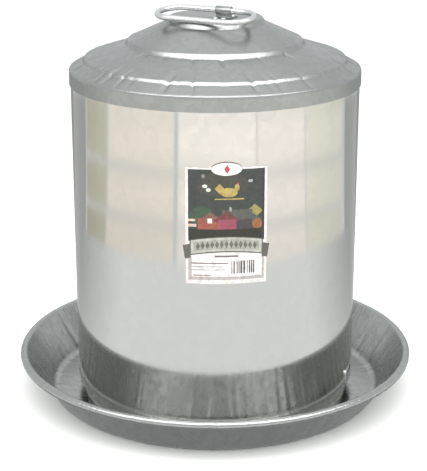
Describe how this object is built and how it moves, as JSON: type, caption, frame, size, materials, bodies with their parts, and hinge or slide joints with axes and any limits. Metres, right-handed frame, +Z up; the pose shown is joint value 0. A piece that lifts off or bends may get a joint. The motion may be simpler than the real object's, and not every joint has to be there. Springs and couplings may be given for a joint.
{
  "type": "poultry waterer fount",
  "caption": "Double-wall galvanised poultry fount: a round drinking pan with a tank, and a lift-off cover with a stepped lid and wire bail.",
  "frame": {"origin": "centre of the object's footprint on the floor, on the tank's centre line", "axes": "+Z up along the tank's centre line; the label faces -Y and the outlet valve is on the +Y side"},
  "size_m": [0.4064, 0.4064, 0.3975],
  "materials": {
    "pan_zinc": "hot-dip galvanised, spangled, slightly dull",
    "wall_zinc": "bright galvanised, nearly mirror smooth",
    "lid_zinc": "stamped galvanised sheet, satin",
    "bare_wire": "zinc-plated drawn wire",
    "solder": "dull soft solder",
    "seal_rubber": "black moulded rubber",
    "label_paper": "coated paper, satin"
  },
  "bodies": {
    "base": {"pan": "pan_zinc", "pan_rim_wire": "bare_wire", "tank_wall": "wall_zinc", "tank_seam": "solder", "tank_bottom": "wall_zinc", "tank_rim_wire": "bare_wire", "foot_solder": "solder", "valve_seat": "bare_wire", "valve_pivot_pin": "bare_wire", "valve_spring": "bare_wire", "spring_anchor": "bare_wire", "lock_pins": "bare_wire", "rest_clips": "wall_zinc"},
    "outlet_lever": {"valve_lever": "wall_zinc", "valve_seal": "seal_rubber", "seal_rivet": "bare_wire"},
    "cover_ring": {"shell_top_wire": "bare_wire"},
    "cover": {"shell_wall": "wall_zinc", "shell_seam": "solder", "lid": "lid_zinc", "lid_solder": "solder", "valve_striker": "bare_wire", "bail_clip": "lid_zinc", "clip_rivets": "bare_wire", "label": "label_paper"},
    "bail": {"bail": "bare_wire"}
  },
  "joints": [
    {"name": "cover_lift", "type": "slide", "parent": "base", "child": "cover_ring", "axis": [0, 0, 1], "range_m": [0, 0.35]},
    {"name": "cover_twist", "type": "hinge", "parent": "cover_ring", "child": "cover", "pos_m": [0, 0, 0.2], "axis": [0, 0, -1], "range_deg": [0, 7]},
    {"name": "bail_swing", "type": "hinge", "parent": "cover", "child": "bail", "pos_m": [0.0086, -0.012, 0.3934], "axis": [-0.8829, 0.4695, 0], "range_deg": [0, 193]},
    {"name": "valve_swing", "type": "hinge", "parent": "base", "child": "outlet_lever", "pos_m": [0, 0.1388, 0.036], "axis": [0, 1, 0], "range_deg": [0, 26]}
  ],
  "couplings": [
    {"joint": "valve_swing", "follows": "cover_twist", "ratio": 3.65}
  ]
}
